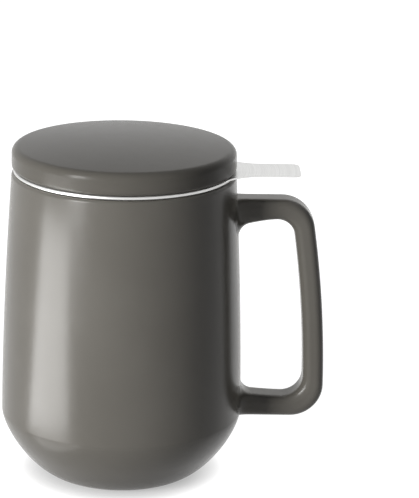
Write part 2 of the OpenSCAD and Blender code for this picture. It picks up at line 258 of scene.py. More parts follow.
def body_radius(z, s):
    """Outer radius of the mug at height z: a superellipse below the belly, a power-law taper above it."""
    lip_z = s.height - s.lip / 2
    low = s.foot_radius + (s.belly_radius - s.foot_radius) * bulge(z / s.belly_height, s.belly_power)
    up = np.clip((z - s.belly_height) / (lip_z - s.belly_height), 0.0, 1.0)
    high = s.belly_radius - (s.belly_radius - s.rim_radius) * up**s.taper_power
    return np.where(z < s.belly_height, low, high)


def inner_radius(z, s):
    """Inner radius of the mug at height z: a superellipse below the belly, like the outside's.

    Above it, it is the outer radius less a wall that thins to the lip as a sine.
    """
    lip_z = s.height - s.lip / 2
    thin = np.sin(np.pi / 2 * np.clip((lip_z - z) / s.lip_run, 0.0, 1.0))
    high = body_radius(z, s) - (s.lip + (s.wall - s.lip) * thin)
    rise = (z - s.floor) / (s.belly_height - s.floor)
    low = s.floor_radius + (s.belly_radius - s.wall - s.floor_radius) * bulge(rise, s.belly_power)
    return np.where(z < s.belly_height, low, high)


def placed(name, data):
    """A new object that shows the data, put into the scene."""
    item = bpy.data.objects.new(name, data)
    bpy.context.scene.collection.objects.link(item)
    return item


def new_mesh(name, points, quads, triangles=NO_TRIANGLES):
    """A mesh object from arrays of points, quads and triangles, shaded smooth."""
    mesh = bpy.data.meshes.new(name)
    corners = np.concatenate([quads.ravel(), triangles.ravel()]).astype(np.int32)
    totals = np.repeat([4, 3], [len(quads), len(triangles)]).astype(np.int32)
    starts = (np.cumsum(totals) - totals).astype(np.int32)
    mesh.vertices.add(len(points))
    mesh.vertices.foreach_set("co", np.asarray(points, np.float32).ravel())
    mesh.loops.add(len(corners))
    mesh.loops.foreach_set("vertex_index", corners)
    mesh.polygons.add(len(totals))
    mesh.polygons.foreach_set("loop_start", starts)
    mesh.polygons.foreach_set("loop_total", totals)
    mesh.polygons.foreach_set("use_smooth", np.ones(len(totals), bool))
    mesh.update(calc_edges=True)
    if mesh.validate():
        raise RuntimeError(f"{name} had faces that Blender could not keep")
    return placed(name, mesh)


def closed_mesh(name, points, quads, triangles=NO_TRIANGLES):
    """A closed mesh whose faces point outwards: all are turned round if the signed volume is negative.

    Six times the volume is the sum of the triple products of the faces, split into triangles.
    """
    split = np.concatenate([quads[:, [0, 1, 2]], quads[:, [0, 2, 3]], triangles])
    a, b, c = (points[split[:, k]] for k in range(3))
    if np.einsum("ij,ij->i", a, np.cross(b, c)).sum() < 0:
        quads, triangles = quads[:, ::-1], triangles[:, ::-1]
    return new_mesh(name, points, quads, triangles)


def grid_quads(rows, columns, wrap_rows=False, wrap_columns=False):
    """Quads of a grid of rows x columns points, numbered row by row, with its ends joined where it wraps."""
    index = np.arange(rows * columns).reshape(rows, columns)
    index = np.pad(index, ((0, int(wrap_rows)), (0, int(wrap_columns))), mode="wrap")
    corners = [index[:-1, :-1], index[:-1, 1:], index[1:, 1:], index[1:, :-1]]
    return np.stack(corners, axis=-1).reshape(-1, 4)


def rim_quads(rows, columns, below):
    """Quads from the edge of a grid of rows x columns points to a like grid's, numbered below higher."""
    index = np.arange(rows * columns).reshape(rows, columns)
    edge = np.concatenate([index[0], index[1:, -1], index[-1, -2::-1], index[-2:0:-1, 0]])
    ahead = np.roll(edge, -1)
    return np.stack([edge, edge + below, ahead + below, ahead], axis=1)


def supported(outline, margin=0.15 * MM):
    """The outline with a point more near each end of a long step, a margin in, so that it shades flat."""
    start, end = outline[:-1], outline[1:]
    reach = np.linalg.norm(end - start, axis=1, keepdims=True)
    inset = (end - start) * margin / reach
    kept = np.repeat(reach > 8 * margin, 3, axis=1)
    kept[:, 0] = True
    return np.concatenate([np.stack([start, start + inset, end - inset], axis=1)[kept], end[-1:]])


def lathe(name, outline, segments=192):
    """A turned solid: each outline point (r, z) becomes the circle (r cos a, r sin a, z).

    An outline that starts and ends on the axis is closed by fans at its poles, and any other is a ring.
    """
    outline = supported(np.asarray(outline, float))
    a = np.arange(segments) * (2 * np.pi / segments)
    on_axis = outline[0, 0] < TINY
    turned = outline[1:-1] if on_axis else outline
    r, z = turned[:, :1], np.repeat(turned[:, 1:], segments, axis=1)
    rings = np.stack([r * np.cos(a), r * np.sin(a), z], axis=-1).reshape(-1, 3)
    quads = grid_quads(len(turned), segments, not on_axis, True)
    if not on_axis:
        return closed_mesh(name, rings, quads)
    points = np.concatenate([rings, [[0, 0, outline[0, 1]], [0, 0, outline[-1, 1]]]])
    j = np.arange(segments)
    m = (j + 1) % segments
    last = (len(turned) - 1) * segments
    head = np.stack([np.full(segments, len(rings)), m, j], axis=1)
    tail = np.stack([np.full(segments, len(rings) + 1), last + j, last + m], axis=1)
    return closed_mesh(name, points, quads, np.concatenate([head, tail]))


def creased(piece):
    """Keeps edges sharper than the crease angle crisp, with smooth shading everywhere else."""
    piece.data.set_sharp_from_angle(angle=CREASE)
    return piece


def finished(piece, body, slot, material, *nodes):
    """Gives the piece its material, rides it on its body and hides the nodes it stands for.

    The slot is not used.
    """
    piece.data.materials.append(material)
    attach(piece, body)
    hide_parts(*nodes)


# ---- materials

# Noise patterns: the scale per metre and the detail.
GLAZE_CLOUDS = (26.0, 4.0)
GLAZE_SATIN = (420.0, 3.0)
GLAZE_WAVES = (240.0, 2.0)
GLAZE_SPRAY = (1700.0, 2.0)
CLAY_GRAIN = (2600.0, 2.0)
CLAY_EDGE = (160.0, 2.0)
STEEL_SMEARS = (90.0, 3.0)

# The stretch of a noise's values over which a finish changes.
POOL_STRETCH = (0.42, 0.72)
GLOSS_STRETCH = (0.3, 0.7)
LINE_STRETCH = (0.35, 0.65)
SMEAR_STRETCH = (0.4, 0.7)

GLAZE_RELIEF = 0.03 * MM
GLAZE_DRIFT = 0.03  # how far the roughness strays to each side
SPRAY_SHARE = 0.25  # height of the fine spray against the waves
NO_CLAY = (-1.0, 0.0, 1.0)  # bare only below every piece
BARE_HEIGHT = 0.5 * MM  # how far up a foot the clay is bare
BARE_INSIDE, BARE_OUTSIDE = 0.2 * MM, 2.0 * MM  # and how far past the foot ring's two edges
CLAY_WOBBLE = 0.3 * MM  # how far the bare clay's edge strays up and down
CLAY_DARK = 0.82  # tone of the darker grains
CLAY_ROUGHNESS = 0.9
LINE_DRIFT = 0.4 * MM  # how far the pattern of the lines moves on in a turn of one radian
SMEAR_HAZE = 0.05  # roughness that the smears add

# Steels: the scale of the lines' noise, the least and most roughness, and the lines' relief.
BOWL_STEEL = (5200.0, (0.32, 0.4), 0.002 * MM)
TAB_STEEL = (3600.0, (0.26, 0.36), 0.006 * MM)
RING_STEEL = (4200.0, (0.32, 0.4), 0.003 * MM)
ETCHED_STEEL = (4200.0, (0.42, 0.52), 0.002 * MM)

# The sockets of a Mix node that hold colours.
FIRST_COLOUR, SECOND_COLOUR, MIXED_COLOUR = 6, 7, 2


def emptied(owner):
    """The node tree of a material or a world, emptied."""
    owner.use_nodes = True
    owner.node_tree.nodes.clear()
    return owner.node_tree


def node(tree, kind, inputs=(), **options):
    """Adds a node with its options, links or writes each of its inputs, and gives its outputs."""
    added = tree.nodes.new(f"ShaderNode{kind}")
    for name, value in options.items():
        setattr(added, name, value)
    for key, value in dict(inputs).items():
        if isinstance(value, bpy.types.NodeSocket):
            tree.links.new(value, added.inputs[key])
        else:
            added.inputs[key].default_value = value
    return added.outputs


def noise(tree, vector, scale, detail, roughness=0.5):
    """A noise texture on the given vector."""
    inputs = {"Vector": vector, "Scale": scale, "Detail": detail, "Roughness": roughness}
    return node(tree, "TexNoise", inputs)["Fac"]


def mapped(tree, value, old, new=(0.0, 1.0)):
    """The value carried evenly from one range to another, and held at the ends."""
    ends = {"From Min": old[0], "From Max": old[1], "To Min": new[0], "To Max": new[1]}
    return node(tree, "MapRange", {"Value": value, **ends})["Result"]


def maths(tree, operation, first, second):
    """One Math node; each operand is a number or a socket."""
    return node(tree, "Math", {0: first, 1: second}, operation=operation)["Value"]


def toned(shade, tone=1.0):
    """A colour made darker or lighter by the tone, with the alpha that its socket needs."""
    return (*(tone * c for c in shade), 1.0)


def mixed(tree, factor, first, second):
    """Two colours mixed by a factor; each is a toned colour or a socket."""
    inputs = {"Factor": factor, FIRST_COLOUR: first, SECOND_COLOUR: second}
    return node(tree, "Mix", inputs, data_type="RGBA")[MIXED_COLOUR]


def from_axis(tree, axes):
    """Distance from the axis: the length of (x, y)."""
    flat = node(tree, "CombineXYZ", {"X": axes["X"], "Y": axes["Y"]})["Vector"]
    return node(tree, "VectorMath", {0: flat}, operation="LENGTH")["Value"]


def new_material(name):
    """An empty node material: (material, its tree, the place on the piece, that place's X, Y and Z)."""
    material = bpy.data.materials.new(name)
    tree = emptied(material)
    place = node(tree, "TexCoord")["Object"]
    return material, tree, place, node(tree, "SeparateXYZ", {"Vector": place})


def shaded(material, height, relief, inputs):
    """Ends the material in a Principled shader with the inputs, and a height pattern relief metres deep."""
    tree = material.node_tree
    normal = node(tree, "Bump", {"Height": height, "Distance": relief})["Normal"]
    shader = node(tree, "BsdfPrincipled", {"Normal": normal, **inputs})["BSDF"]
    node(tree, "OutputMaterial", {"Surface": shader})
    return material


def glaze_material(name, bare=NO_CLAY, tone=1.0, shine=1.0):
    """Satin stoneware glaze that leaves the clay bare below a height, between two distances from the axis.

    These three are bare. The colour, scaled by tone, drifts softly and thins a little in small pools; a tone
    below 1 darkens the glaze as painted shade, as on the lid. The surface, with its reflections scaled by
    shine, has the faint waviness of a sprayed glaze. The bare clay is paler, matt and grainy.
    """
    look = settings().finishes
    gloss = look.glaze_roughness
    bare_height, bare_low, bare_high = bare
    material, tree, place, axes = new_material(name)
    pools = mapped(tree, noise(tree, place, *GLAZE_CLOUDS), POOL_STRETCH)
    glaze = mixed(tree, pools, toned(look.glaze, tone), toned(look.glaze_light, tone))
    grain = noise(tree, place, *CLAY_GRAIN)
    clay = mixed(tree, grain, toned(look.bare_clay, CLAY_DARK), toned(look.bare_clay))
    wobble = mapped(tree, noise(tree, place, *CLAY_EDGE), (0.0, 1.0), (-CLAY_WOBBLE, CLAY_WOBBLE))
    low = maths(tree, "LESS_THAN", maths(tree, "ADD", axes["Z"], wobble), bare_height)
    reach = from_axis(tree, axes)
    near = maths(tree, "GREATER_THAN", reach, bare_low)
    far = maths(tree, "LESS_THAN", reach, bare_high)
    unglazed = maths(tree, "MULTIPLY", low, maths(tree, "MULTIPLY", near, far))
    drift = (gloss - GLAZE_DRIFT, gloss + GLAZE_DRIFT)
    satin = mapped(tree, noise(tree, place, *GLAZE_SATIN), GLOSS_STRETCH, drift)
    dull = maths(tree, "MULTIPLY", unglazed, CLAY_ROUGHNESS - gloss)
    spray = maths(tree, "MULTIPLY", noise(tree, place, *GLAZE_SPRAY), SPRAY_SHARE)
    inputs = {
        "Base Color": mixed(tree, unglazed, glaze, clay),
        "Roughness": maths(tree, "ADD", satin, dull),
        "Specular IOR Level": shine * look.glaze_shine,
        "IOR": 1.5,
    }
    height = maths(tree, "ADD", noise(tree, place, *GLAZE_WAVES), spray)
    return shaded(material, height, GLAZE_RELIEF, inputs)


def steel_material(name, brushing, gloss, relief, tone=1.0, haze=0.0):
    """Stainless steel with fine lines round the axis: noise on (distance, height, a little of the angle).

    The lines, at the scale brushing, darken the colour, vary the roughness between the two ends of gloss
    and stand up by relief metres. The tone scales the colour, and the haze is the share of the light that
    the surface scatters.
    """
    look = settings().finishes
    smooth, rough = gloss
    material, tree, place, axes = new_material(name)
    turn = maths(tree, "ARCTAN2", axes["Y"], axes["X"])
    along = {"X": from_axis(tree, axes), "Y": axes["Z"], "Z": maths(tree, "MULTIPLY", turn, LINE_DRIFT)}
    lines = node(tree, "CombineXYZ", along)["Vector"]
    streaks = noise(tree, lines, brushing, detail=4.0, roughness=0.65)
    lightness = mapped(tree, streaks, LINE_STRETCH)
    lined = mapped(tree, streaks, GLOSS_STRETCH, (rough, smooth))
    smears = mapped(tree, noise(tree, place, *STEEL_SMEARS), SMEAR_STRETCH, (0.0, SMEAR_HAZE))
    inputs = {
        "Base Color": mixed(tree, lightness, toned(look.steel_dark, tone), toned(look.steel, tone)),
        "Roughness": maths(tree, "ADD", lined, smears),
        "Metallic": 1.0 - haze,
    }
    return shaded(material, streaks, relief, inputs)


# ---- mug


def mug_outline(s):
    """Half section of the mug: the floor inside from its middle, up over the lip and down under the foot.

    The heights below the belly go as a square, so that they crowd where the curve is tight.
    """
    lip_z = s.height - s.lip / 2
    low = np.linspace(0.0, 1.0, 40) ** 2
    high = np.linspace(s.belly_height, lip_z, 60)
    inner = np.concatenate([s.floor + low * (s.belly_height - s.floor), high])
    outer = np.concatenate([low * s.belly_height, high])[::-1]
    foot_inner = s.foot_radius - s.foot_width
    return joined(
        [[0.0, s.floor]],
        np.stack([inner_radius(inner, s), inner], axis=1),
        arc((s.rim_radius - s.lip / 2, lip_z), s.lip / 2, np.pi, 0.0, 24),
        np.stack([body_radius(outer, s), outer], axis=1),
        [[foot_inner, 0.0], [foot_inner - s.foot_slope, s.foot_recess], [0.0, s.foot_recess]],
    )


class TEAMUG_OT_body(bpy.types.Operator):
    """Turns the glazed body of the mug, with its lip, floor and foot ring"""

    bl_idname = "teamug.body"
    bl_label = "Mug body"

    def execute(self, context):
        s = settings().mug
        bare_low = s.foot_radius - s.foot_width - BARE_INSIDE
        bare_high = s.foot_radius + BARE_OUTSIDE
        glaze = glaze_material("glaze_mug", (BARE_HEIGHT, bare_low, bare_high))
        piece = creased(lathe("mug_body_glazed", mug_outline(s)))
        finished(piece, "mug", "glaze", glaze, "mug_body")
        return {"FINISHED"}


def handle_section(s, growth):
    """Rounded rectangle of the handle, grown all round by growth: four quarter circles joined by lines.

    Each point is [share of the way from the middle to the outer side, width along Y].
    """
    u, v = s.handle_thickness / 2 - s.handle_edge, s.handle_width / 2 - s.handle_edge
    middles = ((u, v), (-u, v), (-u, -v), (u, -v))
    turn = np.pi / 2
    corners = [arc(m, s.handle_edge + growth, k * turn, (k + 1) * turn, 9) for k, m in enumerate(middles)]
    ends = [(corners[k][-1], corners[(k + 1) % 4][0]) for k in range(4)]
    sides = [a + (b - a) * np.linspace(0.0, 1.0, 8)[1:-1, None] for a, b in ends]
    points = np.concatenate([np.concatenate(pair) for pair in zip(corners, sides)])
    return points / np.array([s.handle_thickness / 2 + growth, 1.0])


def handle_ring(s, outer, inner, growth=0.0, skin=0.0, size=1.0, root=0.0):
    """One ring of the handle between an outer and an inner point (x, z) of the loop.

    Point (t, y) of the section goes to the middle + t times half the step from inner to outer. It moves
    along X by the share skin of how far the body's surface curves away from its place at height root.
    """
    q = size * handle_section(s, growth)
    p = (outer + inner) / 2 + q[:, :1] * (outer - inner) / 2
    surface = np.sqrt(body_radius(p[:, 1], s) ** 2 - q[:, 1] ** 2) - body_radius(np.array(root), s)
    return np.stack([p[:, 0] + skin * surface, q[:, 1], p[:, 1]], axis=1)


def loop_side(s, out, bow, top_round, bottom_round):
    """One side of the handle's loop, out from its middle line: a corner, the wide bow, a corner.

    A corner of radius r touches the arm's level line and, from inside, the bow's circle of radius R, so
    its middle is R - r from the bow's.
    """
    middle = np.array([s.handle_reach - s.handle_bow, s.handle_bow_height])

    def corner(level, r):
        rise = level - middle[1]
        place = np.array([math.sqrt((bow - r) ** 2 - rise**2), rise])
        return middle + place, math.atan2(place[1], place[0])

    first, start = corner(s.handle_top + out - top_round, top_round)
    last, end = corner(s.handle_bottom - out + bottom_round, bottom_round)
    upper = arc(first, top_round, np.pi / 2, start, 24)
    grip = arc(middle, bow, start, end, 30)[1:-1]
    lower = arc(last, bottom_round, end, -np.pi / 2, 24)
    return np.concatenate([upper, grip, lower])


def handle_arm(s, level, outer, inner, web):
    """Rings of an arm from inside the body's wall out to the corner.

    At share t of the arm its inner side is fuller by a circular fillet and by web (1 - t)^1.5. The rings
    crowd near the root, and the first three close the end, sunk into the wall.
    """
    root = float(body_radius(np.array(level), s))
    crowded, sunk = 0.3, 0.3 * MM
    shares = np.concatenate([crowded * np.linspace(0.0, 1.0, 18) ** 2, np.linspace(crowded, 1.0, 12)[1:-1]])
    side = 1.0 if inner[1] > outer[1] else -1.0

    def ring(t, size=1.0, sink=0.0):
        d = t * (inner[0] - root)
        flare = s.handle_root - math.sqrt(s.handle_root**2 - max(s.handle_root - d, 0.0) ** 2)
        fill = flare + web * (1.0 - t) ** 1.5
        far = np.array([root + t * (outer[0] - root) - sink, outer[1]])
        near = np.array([root + d - sink, inner[1] + side * fill])
        return handle_ring(s, far, near, flare, (1.0 - t) ** 2, size, level)

    return [ring(0.0, size, sunk) for size in (0.02, 0.5, 1.0)] + [ring(t) for t in shares]


def handle_rings(s):
    """Every ring of the handle: the upper arm, the loop between its two sides, the lower arm."""
    half = s.handle_thickness / 2
    inner_bow = s.handle_bow - s.handle_thickness
    outer = loop_side(s, half, s.handle_bow, s.handle_top_outer, s.handle_bottom_outer)
    inner = loop_side(s, -half, inner_bow, s.handle_top_inner, s.handle_bottom_inner)
    return np.array(
        handle_arm(s, s.handle_top, outer[0], inner[0], s.handle_top_web)
        + [handle_ring(s, o, i) for o, i in zip(outer, inner)]
        + handle_arm(s, s.handle_bottom, outer[-1], inner[-1], s.handle_bottom_web)[::-1]
    )


class TEAMUG_OT_handle(bpy.types.Operator):
    """Sweeps the loop handle from its upper root round to its lower root"""

    bl_idname = "teamug.handle"
    bl_label = "Mug handle"

    def execute(self, context):
        rings = handle_rings(settings().mug)
        n = rings.shape[1]
        quads = grid_quads(len(rings), n, False, True)
        j = np.arange(1, n - 1)
        last = (len(rings) - 1) * n
        head = np.stack([np.zeros_like(j), j + 1, j], axis=1)
        ends = np.concatenate([head, last + head[:, [0, 2, 1]]])
        piece = closed_mesh("mug_handle_glazed", rings.reshape(-1, 3), quads, ends)
        finished(piece, "mug", "glaze", glaze_material("glaze_handle"), "mug_handle")
        return {"FINISHED"}


# ---- infuser


def slope(tilt):
    """Two unit vectors (r, z) of a wall tilted from the upright: square to it, inwards, and down it."""
    return np.array([-math.cos(tilt), math.sin(tilt)]), np.array([-math.sin(tilt), -math.cos(tilt)])


def funnel_middles(f):
    """Middles of the funnel's three bends: mouth, sill and throat.

    The bowl's wall is as long as it takes for the chain of bends and slopes to end on the collar.
    """
    wall_in, wall_down = slope(f.bowl_tilt)
    sill_in, sill_down = slope(f.sill_tilt)
    half = f.sheet / 2
    bends = (
        f.mouth_bend * math.cos(f.bowl_tilt)
        + f.sill_bend * (math.cos(f.bowl_tilt) - math.cos(f.sill_tilt))
        + f.throat_bend * (1 - math.cos(f.sill_tilt))
    )
    run = f.mouth_radius - f.collar_radius + half - bends - f.sill_length * math.sin(f.sill_tilt)
    wall = run / math.sin(f.bowl_tilt)
    mouth = np.array([f.mouth_radius, FUNNEL_HIGH.z - half - f.mouth_bend])
    sill = mouth + (f.mouth_bend + f.sill_bend) * wall_in + wall * wall_down
    throat = sill + f.sill_length * sill_down - (f.sill_bend + f.throat_bend) * sill_in
    return mouth, sill, throat


def funnel_face(f, s):
    """One face of the funnel's sheet, s from mid-sheet: three arcs joined by slopes, and the collar."""
    mouth, sill, throat = funnel_middles(f)
    return joined(
        arc(mouth, f.mouth_bend + s, np.pi / 2, np.pi - f.bowl_tilt, 12),
        arc(sill, f.sill_bend - s, -f.bowl_tilt, -f.sill_tilt, 12),
        arc(throat, f.throat_bend + s, np.pi - f.sill_tilt, np.pi, 12),
        [[throat[0] - f.throat_bend - s, FUNNEL_LOW.z]],
    )


def funnel_outline(f):
    """Whole section of the funnel: upper face, lower face backwards, and the bead round to the top."""
    half = f.sheet / 2
    r = f.bead / 2
    start = math.asin((f.sheet - r) / r) - np.pi
    bead = arc((f.flange_radius - r, FUNNEL_HIGH.z - r), r, start, np.pi / 2, 28)
    return joined(funnel_face(f, half), funnel_face(f, -half)[::-1], bead)


def tab_half(f):
    """One side of the tab: out from the bead, round the root curve and along to the tip's corner."""
    y = f.tab_width / 2 + f.tab_root
    x = math.sqrt((f.flange_radius + f.tab_root) ** 2 - y**2)
    turn = math.asin(y / (f.flange_radius + f.tab_root))
    inner = (f.flange_radius - f.bead / 2) * np.array([math.cos(turn), math.sin(turn)])
    corner = (f.tab_reach - f.tab_corner, f.tab_width / 2 - f.tab_corner)
    straight = np.linspace(x, corner[0], 12)[1:-1]
    return joined(
        [inner],
        arc((x, y), f.tab_root, np.pi + turn, 1.5 * np.pi, 28),
        np.stack([straight, np.full_like(straight, f.tab_width / 2)], axis=1),
        arc(corner, f.tab_corner, np.pi / 2, 0.0, 12),
    )


def tab_mesh(f):
    """The flat tab: a grid between its two sides, with its inner end on the circle of the bead's top.

    Point (s, v) lies at y = v times the side's y, and x is the side's x plus the circle's bow, which fades
    out towards the tip. The same grid lies a sheet lower, and walls close the solid all round.
    """
    side = tab_half(f)
    v = np.linspace(-1.0, 1.0, 25)
    y = side[:, 1:] * v
    inner = f.flange_radius - f.bead / 2
    along = (side[:, :1] - side[0, 0]) / (f.tab_reach - side[0, 0])
    bow = np.sqrt(np.maximum(inner**2 - y**2, 0.0)) - np.sqrt(np.maximum(inner**2 - side[:, 1:] ** 2, 0.0))
    x = side[:, :1] + bow * (1.0 - along) ** 2
    top = np.stack([x, y, np.full_like(x, FUNNEL_HIGH.z)], axis=-1)
    under = top - np.array([0.0, 0.0, f.sheet])
    points = np.concatenate([top.reshape(-1, 3), under.reshape(-1, 3)])
    face = grid_quads(*x.shape)
    return points, np.concatenate([face, face[:, ::-1] + x.size, rim_quads(*x.shape, x.size)])


class TEAMUG_OT_funnel(bpy.types.Operator):
    """Turns the infuser's flange, bowl and collar with the rolled bead, and lays the tab on its edge"""

    bl_idname = "teamug.funnel"
    bl_label = "Infuser funnel and tab"

    def execute(self, context):
        f = settings().infuser
        look = settings().finishes
        satin = steel_material("steel_funnel", *BOWL_STEEL, haze=look.steel_haze)
        funnel = creased(lathe("infuser_funnel_steel", funnel_outline(f)))
        finished(funnel, "infuser", "steel", satin, "infuser_funnel")
        tab = creased(closed_mesh("infuser_tab_steel", *tab_mesh(f)))
        edge = tab.modifiers.new("broken_edge", "BEVEL")
        edge.width = f.tab_edge
        edge.segments = 2
        edge.limit_method = "ANGLE"
        edge.angle_limit = CREASE
        edge.harden_normals = True
        brushed = steel_material("steel_tab", *TAB_STEEL, tone=look.tab_tone)
        finished(tab, "infuser", "steel", brushed, "infuser_funnel")
        return {"FINISHED"}


def perforated(name, surface, open_cells, hole_share):
    """A closed perforated sheet between two faces of a grid of cells.

    surface(i, j, side) gives points at grid place (i, j), rows down and columns across, on side 0 or 1.
    An open cell has a square hole of the given share of its pitch, so each face of it is four quads
    round the hole, and four quads line the hole; a plain cell is one quad on each face. Quads close the
    edges of the sheet.
    """
    rows, columns = open_cells.shape
    gi, gj = np.meshgrid(np.arange(rows + 1), np.arange(columns + 1), indexing="ij")
    lattice = [surface(gi.ravel(), gj.ravel(), side) for side in (0, 1)]
    ci, cj = np.nonzero(open_cells)
    near = (1.0 - hole_share) / 2
    far = 1 - near
    hi = (ci[:, None] + np.array([near, near, far, far])).ravel()
    hj = (cj[:, None] + np.array([near, far, far, near])).ravel()
    holes = [surface(hi, hj, side) for side in (0, 1)]
    n, h = len(lattice[0]), len(holes[0])
    cells = grid_quads(rows + 1, columns + 1).reshape(rows, columns, 4)
    ring, plain = cells[open_cells], cells[~open_cells]
    hole = 2 * n + np.arange(h).reshape(-1, 4)
    quads = []
    for k in range(4):
        m = (k + 1) % 4
        front = np.stack([ring[:, k], ring[:, m], hole[:, m], hole[:, k]], axis=1)
        back = np.stack([ring[:, k] + n, hole[:, k] + h, hole[:, m] + h, ring[:, m] + n], axis=1)
        lining = np.stack([hole[:, k], hole[:, m], hole[:, m] + h, hole[:, k] + h], axis=1)
        quads += [front, back, lining]
    quads += [plain, plain[:, ::-1] + n, rim_quads(rows + 1, columns + 1, n)]
    return new_mesh(name, np.concatenate(lattice + holes), np.concatenate(quads))


class TEAMUG_OT_basket(bpy.types.Operator):
    """Rolls the etched sheet of the basket's wall, in two halves, with its plain margins and lapped seam"""

    bl_idname = "teamug.basket"
    bl_label = "Basket wall"

    def execute(self, context):
        f = settings().infuser
        top, straight, foot = WALL_HIGH.z, FUNNEL_LOW.z, WALL_LOW.z
        top_radius = f.collar_radius + f.weld_gap + f.mesh_sheet
        field = np.linspace(top - f.top_margin, foot + f.foot_margin, f.rows + 1)
        levels = np.concatenate([[top], field, [foot]])
        half = f.columns // 2
        steel = steel_material("steel_basket", *ETCHED_STEEL, tone=settings().finishes.mesh_tone)
        for name, first in (("basket_wall_near", half), ("basket_wall_far", 0)):

            def surface(i, j, side, first=first):
                """Row i's height and column j's angle, on a radius that narrows evenly below the collar."""
                z = np.interp(i, np.arange(len(levels)), levels)
                taper = np.clip((straight - z) / (straight - foot), 0.0, 1.0)
                r = top_radius - f.basket_taper * taper - side * f.mesh_sheet
                a = (j + first) * (2 * np.pi / f.columns)
                return np.stack([r * np.cos(a), r * np.sin(a), z], axis=1)

            cells = np.ones((f.rows + 2, half), bool)
            cells[[0, -1]] = False
            seam = (np.arange(half) + first + f.seam_columns // 2) % f.columns < f.seam_columns
            cells[:, seam] = False
            piece = creased(perforated(name, surface, cells, f.hole_share))
            finished(piece, "infuser", "mesh", steel, "basket_wall")
        return {"FINISHED"}


class TEAMUG_OT_base(bpy.types.Operator):
    """Turns the ring round the basket's base and etches the disc that it holds"""

    bl_idname = "teamug.base"
    bl_label = "Basket base"

    def execute(self, context):
        f = settings().infuser
        half = f.ring_sheet / 2
        outer, low, high = RING_HIGH.y - half, RING_LOW.z + half, RING_HIGH.z

        def face(s):
            """One face of the ring's sheet, s from mid-sheet: the ledge, a bend and the wall."""
            return joined(
                [[outer - half - f.ledge, low - s]],
                arc((outer - f.ring_bend, low + f.ring_bend), f.ring_bend + s, -np.pi / 2, 0.0, 10),
                [[outer + s, high]],
            )

        ring = creased(lathe("base_ring_steel", joined(face(half), face(-half)[::-1])))
        satin = steel_material("steel_ring", *RING_STEEL)
        finished(ring, "infuser", "steel", satin, "base_ring")

        radius = DISC_HIGH.x
        pitch = 2 * radius / f.disc_cells

        def surface(i, j, side):
            """A square grid whose points past the disc's edge are drawn in to it."""
            p = np.stack([j, i], axis=1) * pitch - radius
            size = np.linalg.norm(p, axis=1)
            held = np.where(size > radius, radius / np.maximum(size, TINY), 1.0)
            z = np.full(len(p), DISC_LOW.z if side else DISC_HIGH.z)
            return np.column_stack([p * held[:, None], z])

        middle = (np.arange(f.disc_cells) + 0.5) * pitch - radius
        open_cells = np.hypot(middle[:, None], middle) < f.disc_hole_radius
        disc = creased(perforated("base_mesh_etched", surface, open_cells, f.hole_share))
        etched = steel_material("steel_disc", *ETCHED_STEEL, tone=settings().finishes.mesh_tone)
        finished(disc, "infuser", "mesh", etched, "base_mesh")
        return {"FINISHED"}


# ---- lid


def lid_outline(s):
    """Half section of the lid: its crown from the middle, out over the shoulder and under to its hollow."""
    seat = LID_LOW.z + s.ring_height
    shoulder = seat + s.edge_height - s.top_round
    crown = (s.radius - s.top_round * (1 - math.sin(s.crown))) / math.sin(s.crown)
    crown_z = shoulder + s.top_round * math.cos(s.crown) - crown * math.cos(s.crown)
    inner = s.ring_radius - s.ring_wall
    r = s.ring_round
    ring_foot = LID_LOW.z + r
    return joined(
        arc((0.0, crown_z), crown, np.pi / 2, np.pi / 2 - s.crown, 40),
        arc((s.radius - s.top_round, shoulder), s.top_round, np.pi / 2 - s.crown, 0.0, 20),
        arc((s.radius - s.foot_round, seat + s.foot_round), s.foot_round, 0.0, -np.pi / 2, 14),
        [[s.ring_radius, seat]],
        arc((s.ring_radius - r, ring_foot), r, 0.0, -np.pi / 2, 10),
        arc((inner + r, ring_foot), r, -np.pi / 2, -np.pi, 10),
        [[inner, seat + s.hollow], [0.0, seat + s.hollow]],
    )


class TEAMUG_OT_lid(bpy.types.Operator):
    """Turns the glazed lid with its crowned top and locating ring"""

    bl_idname = "teamug.lid"
    bl_label = "Lid"

    def execute(self, context):
        s = settings().lid
        look = settings().finishes
        bare = (LID_LOW.z + BARE_HEIGHT, 0.0, s.ring_radius)
        # The lid's glaze is darkened as painted shade: the mug's glaze made darker so that the lid's lit top
        # looks no lighter.
        glaze = glaze_material("glaze_lid", bare, look.lid_painted_shade, look.lid_shine)
        piece = creased(lathe("lid_glazed", lid_outline(s)))
        finished(piece, "lid", "glaze", glaze, "lid")
        return {"FINISHED"}


# ---- stage

# Places, targets and sizes of the lamps, in metres. The table's lamp lies flat and shines straight up.
KEY_PLACE, KEY_SIZE = (-0.72, -0.69, 0.26), (0.26, 0.55)
BACK_PLACE, BACK_SIZE = (0.5, 0.87, 0.4), (0.5, 0.5)
STRIP_PLACE, STRIP_TARGET, STRIP_SIZE = (-0.117, -0.064, 0.043), (-0.044, -0.033, 0.084), (0.078, 0.1)
TABLE_PLACE, TABLE_TARGET, TABLE_SIZE = (-0.061, -0.054, 0.001), (-0.061, -0.054, 1.0), (0.056, 0.056)

WHITE = (1.0, 1.0, 1.0)
DARKEST_PAINTED_CONTACT = 0.4  # the painted contact shadow: the floor's glow where the object touches it, against its full glow


def aimed(location, target):
    """The matrix of a lamp or camera at location whose view points at target, upright."""
    back = (Vector(location) - Vector(target)).normalized()
    return Matrix.Translation(location) @ back.to_track_quat("Z", "Y").to_matrix().to_4x4()


def softbox(name, location, target, size, power):
    """A flat rectangular lamp, size wide and high, that faces the target."""
    lamp = bpy.data.lights.new(name, "AREA")
    lamp.shape = "RECTANGLE"
    lamp.size, lamp.size_y = size
    lamp.energy = power
    holder = placed(name, lamp)
    holder.matrix_world = aimed(location, target)
    return holder


def seen_directly(tree):
    """A factor that is 1 for rays of the camera, of reflections and of glass, and 0 for the rest."""
    rays = node(tree, "LightPath")
    factor = maths(tree, "MAXIMUM", rays["Is Camera Ray"], rays["Is Glossy Ray"])
    return maths(tree, "MAXIMUM", factor, rays["Is Transmission Ray"])


